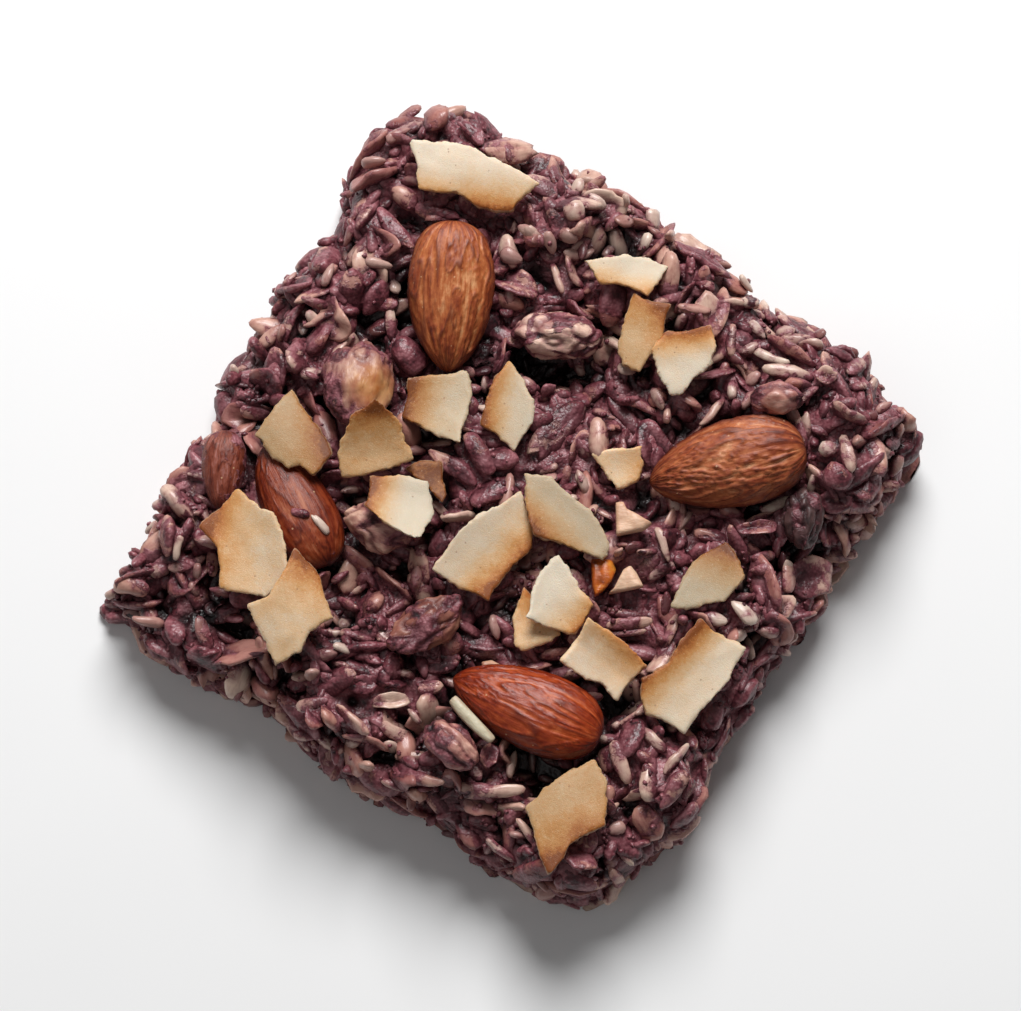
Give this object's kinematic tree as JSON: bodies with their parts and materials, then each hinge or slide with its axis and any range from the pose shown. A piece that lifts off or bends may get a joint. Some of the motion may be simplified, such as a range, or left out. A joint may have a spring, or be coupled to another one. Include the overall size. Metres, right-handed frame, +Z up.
{
  "type": "granola bar",
  "caption": "Square homemade granola bar of oats and seeds in dark fruit paste, topped with whole almonds, nut pieces and toasted coconut chips.",
  "frame": {"origin": "centre of the underside's bounding rectangle, on the surface that the bar rests on", "axes": "+Z up through the thickness, +X and +Y along the bar's sides"},
  "size_m": [0.0964, 0.0988, 0.0245],
  "materials": {
    "granola": "rough baked mass of rolled oats and seeds bound with purple-brown fruit paste",
    "almond_skin": "ridged brown almond skin, satin",
    "coated_nut": "nut and fruit pieces partly coated with purple paste",
    "toasted_coconut": "dry coconut shavings, cream to golden brown at the toasted edges"
  },
  "bodies": {
    "root": {"almond_1": "almond_skin", "almond_2": "almond_skin", "almond_3": "almond_skin", "almond_4": "almond_skin", "almond_5": "almond_skin", "almond_half": "coated_nut", "cashew_piece": "coated_nut", "coated_nut": "coated_nut", "coconut_chip_01": "toasted_coconut", "coconut_chip_02": "toasted_coconut", "coconut_chip_03": "toasted_coconut", "coconut_chip_04": "toasted_coconut", "coconut_chip_05": "toasted_coconut", "coconut_chip_06": "toasted_coconut", "coconut_chip_07": "toasted_coconut", "coconut_chip_08": "toasted_coconut", "coconut_chip_09": "toasted_coconut", "coconut_chip_10": "toasted_coconut", "coconut_chip_11": "toasted_coconut", "coconut_chip_12": "toasted_coconut", "coconut_chip_13": "toasted_coconut", "coconut_chip_14": "toasted_coconut", "coconut_chip_15": "toasted_coconut", "coconut_chip_16": "toasted_coconut", "coconut_chip_17": "toasted_coconut", "coconut_chip_18": "toasted_coconut", "coconut_chip_19": "toasted_coconut", "coconut_chip_20": "toasted_coconut", "coconut_chip_21": "toasted_coconut", "date_piece": "coated_nut", "granola_slab": "granola", "nut_chunk": "coated_nut", "pecan_piece": "coated_nut", "walnut_piece": "coated_nut"}
  },
  "joints": []
}
